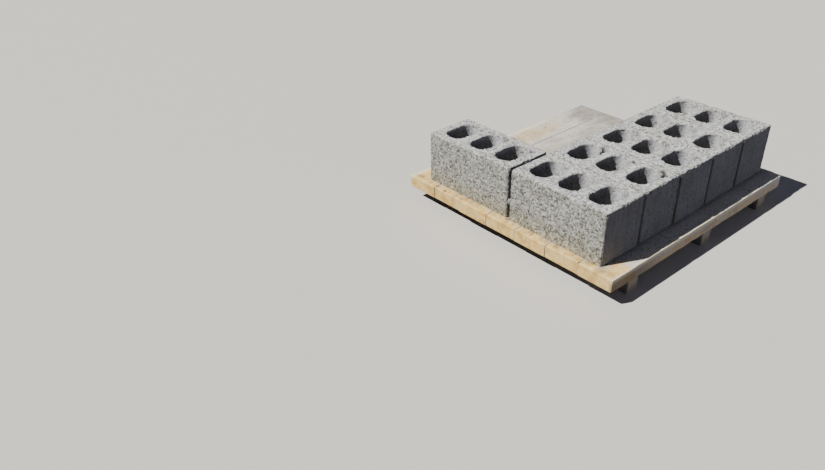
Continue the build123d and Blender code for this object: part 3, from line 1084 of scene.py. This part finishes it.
def sawn_piece(node, kind, seed, worn):
    """A rough sawn timber in a CAD node's place."""
    low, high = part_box(node)
    size, middle = (high - low) / MM, (low + high) / 2
    along = kind["along"]
    width, height, length = size[1 - along] + kind["spare"], size[2], size[along]
    ring = section(width, height, kind["radius"])
    local, faces = sweep(ring, width, height, length)
    wear_down(local, len(ring), width, height, worn, seed)
    local = close_ends(local, faces, len(ring), length)

    mirror = 1 if along == 0 else -1
    world = np.zeros_like(local)
    world[:, along] = low[along] + local[:, 0] * MM
    world[:, 1 - along] = middle[1 - along] + local[:, 1] * MM * mirror
    world[:, 2] = middle.z + local[:, 2] * MM
    timber = add_piece("sawn_" + node, world.tolist(), faces, pine)

    heart = np.random.default_rng(seed).uniform(HEART_LEAST, HEART_MOST)
    log_place = local + (LOG_SPACING * seed, -heart[0], -heart[1])
    layer = timber.data.attributes.new("log", "FLOAT_VECTOR", "POINT")
    layer.data.foreach_set("vector", (log_place * MM).astype(np.float32).ravel())
    films = films_on(world)
    if node in BOARDS:
        fill_joints(films, local, world, width, length)
    films["age"] = np.maximum(films["age"], kind["age"])
    for name, values in films.items():
        write_value(timber.data, name, values)
    shade_smooth(timber.data)
    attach(timber, "root")
    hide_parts(node)


for number, node in enumerate(BOARDS):
    outer = node in (BOARDS[0], BOARDS[-1])
    sawn_piece(node, BOARD_KIND, BOARD_SEED + number, OUTER_WEAR if outer else INNER_WEAR)
for number, node in enumerate(BEARERS):
    sawn_piece(node, BEARER_KIND, BEARER_SEED + number, OUTER_WEAR)
print("timbers:", len(BOARDS) + len(BEARERS))

# %% [markdown]
# ## Crumbs
# Blocks shed grit whenever they are set down.  Crumbs of 1 to 5 mm lie thickest along
# the blocks' feet and on the bare boards, and a few lie on top of the blocks.  One mesh
# holds all the crumbs of a place: each is a small bent twenty-sided stone, sunk a little
# into what carries it, so none floats.

# %% Shape the crumbs
GOLDEN = (1 + math.sqrt(5)) / 2
STONE = np.array([
    (-1, GOLDEN, 0), (1, GOLDEN, 0), (-1, -GOLDEN, 0), (1, -GOLDEN, 0),
    (0, -1, GOLDEN), (0, 1, GOLDEN), (0, -1, -GOLDEN), (0, 1, -GOLDEN),
    (GOLDEN, 0, -1), (GOLDEN, 0, 1), (-GOLDEN, 0, -1), (-GOLDEN, 0, 1)]) / 1.9
STONE_FACES = [
    (0, 11, 5), (0, 5, 1), (0, 1, 7), (0, 7, 10), (0, 10, 11),
    (1, 5, 9), (5, 11, 4), (11, 10, 2), (10, 7, 6), (7, 1, 8),
    (3, 9, 4), (3, 4, 2), (3, 2, 6), (3, 6, 8), (3, 8, 9),
    (4, 9, 5), (2, 4, 11), (6, 2, 10), (8, 6, 7), (9, 8, 1)]


def stones(name, spots, seed):
    """One mesh of crumbs at spots of x, y, z in metres and a radius in millimetres."""
    chance = np.random.default_rng(seed)
    points, faces = [], []
    for x, y, z, size in spots:
        turn = chance.uniform(0, math.pi)
        bumpy = STONE * chance.uniform(0.7, 1.2, (12, 1))
        shape = bumpy * (size, size * chance.uniform(0.6, 1.0), size * chance.uniform(0.5, 0.8))
        spun = np.column_stack((shape[:, 0] * math.cos(turn) - shape[:, 1] * math.sin(turn),
                                shape[:, 0] * math.sin(turn) + shape[:, 1] * math.cos(turn), shape[:, 2]))
        start = len(points)
        points += (spun * MM + (x, y, z)).tolist()
        faces += [tuple(start + p for p in face) for face in STONE_FACES]
    piece = add_piece(name, points, faces, concrete)
    write_value(piece.data, "batch", np.repeat(chance.uniform(0, 1, len(spots)), 12))
    write_value(piece.data, "pit", np.zeros(len(points)))
    write_value(piece.data, "in_cell", np.zeros(len(points)))
    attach(piece, "root")


print("corners of a crumb:", len(STONE))

# %% [markdown]
# ### Scatter the crumbs
# Places are drawn by chance and kept more often the nearer they lie to a block's foot.
# On the blocks, a place over a cell or too near its rim is thrown away.

# %% Scatter the crumbs
DECK_CRUMBS, BLOCK_TRIES = 1500, 48
DECK_MARGIN, FOOT_CLEARANCE = 0.006, 0.001                 # metres
BLOCK_MARGIN, RIM_MARGIN = 8, 5.0                          # millimetres
KEPT_ANYWHERE, KEPT_AT_FOOT, KEPT_ON_BARE = 0.12, 0.9, 0.10
RAISED = 0.3                                               # of a crumb's radius
DECK_SUNK, BLOCK_SUNK = 0.0004, 0.0006                     # metres
chance = np.random.default_rng(99)
deck_low, deck_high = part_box(BOARDS[0])[0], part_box(BOARDS[-1])[1]
back_low, back_high = footprints[-1]

spots = []
while len(spots) < DECK_CRUMBS:
    x = chance.uniform(deck_low.x + DECK_MARGIN, deck_high.x - DECK_MARGIN)
    y = chance.uniform(deck_low.y + DECK_MARGIN, deck_high.y - DECK_MARGIN)
    gap = min(math.hypot(max(low.x - x, x - high.x, 0), max(low.y - y, y - high.y, 0))
              for low, high in footprints)
    bare = x > back_high.x and y > back_low.y
    kept = KEPT_ANYWHERE + KEPT_AT_FOOT * math.exp(-gap / DUST_SPREAD) + KEPT_ON_BARE * bare
    if gap > FOOT_CLEARANCE and chance.uniform() < kept:
        size = 0.7 + 1.9 * chance.uniform() ** 3
        spots.append((x, y, DECK_TOP - DECK_SUNK + RAISED * size * MM, size))
stones("crumbs_on_deck", spots, 7)

spots = []
for low, high in footprints:
    middle = (low + high) / 2
    for _ in range(BLOCK_TRIES):
        x = chance.uniform(-BLOCK_HALF_X + BLOCK_MARGIN, BLOCK_HALF_X - BLOCK_MARGIN)
        y = chance.uniform(-BLOCK_HALF_Y + BLOCK_MARGIN, BLOCK_HALF_Y - BLOCK_MARGIN)
        if cell_distance(np.array([x]), np.array([y]), 0.0)[0] > RIM_MARGIN:
            size = 0.8 + 1.5 * chance.uniform() ** 3
            z = high.z - BLOCK_SUNK + RAISED * size * MM
            spots.append((middle.x + x * MM, middle.y + y * MM, z, size))
stones("crumbs_on_blocks", spots, 8)
print("crumbs on the blocks:", len(spots))

# %% [markdown]
# ## A lump in the joint
# In the photograph something pale bridges the joint between the back block and the front
# row, a third of the way up its left side: a lump of mix that was squeezed between the
# two.  It is a ball pressed flat between the two faces and roughened by the same fields.

# %% Wedge the lump
LUMP_HALF = (7.0, 7.5, 11.0)      # millimetres: in from the face, across the joint, upright
LUMP_RISE = 62.0                  # its middle above the deck
LUMP_INSET = 0.0085               # its middle in from the blocks' left faces, in metres
LUMP_RINGS, LUMP_TURNS = 20, 28


def unit_ball(rings, turns):
    """Points of a ball with a radius of 1, and faces that close it at both poles."""
    points = [(0.0, 0.0, 1.0)]
    for r in range(1, rings):
        for t in range(turns):
            polar, angle = math.pi * r / rings, 2 * math.pi * t / turns
            out = math.sin(polar)
            points.append((out * math.cos(angle), out * math.sin(angle), math.cos(polar)))
    points.append((0.0, 0.0, -1.0))
    faces = [(0, 1 + t, 1 + (t + 1) % turns) for t in range(turns)]
    for r in range(rings - 2):
        a = 1 + r * turns
        below = a + turns
        faces += [(a + t, below + t, below + (t + 1) % turns, a + (t + 1) % turns) for t in range(turns)]
    a = 1 + (rings - 2) * turns
    faces += [(a + t, len(points) - 1, a + (t + 1) % turns) for t in range(turns)]
    return np.array(points), faces


ball, faces = unit_ball(LUMP_RINGS, LUMP_TURNS)
front_high = footprints[0][1]
squeezed = ball * LUMP_HALF
squeezed *= (1 + 0.22 * field(squeezed, 7.0, 5) + 0.08 * field(squeezed, 2.5, 6))[:, None]
centre = np.array((back_low.x + LUMP_INSET, (front_high.y + back_low.y) / 2, DECK_TOP + LUMP_RISE * MM))
lump = add_piece("squeezed_mix_lump", (squeezed * MM + centre).tolist(), faces, concrete)
for value in ("batch", "pit", "in_cell"):
    write_value(lump.data, value, np.zeros(len(squeezed)))
shade_smooth(lump.data)
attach(lump, "root")
print("lump at, mm:", [round(c / MM) for c in centre])
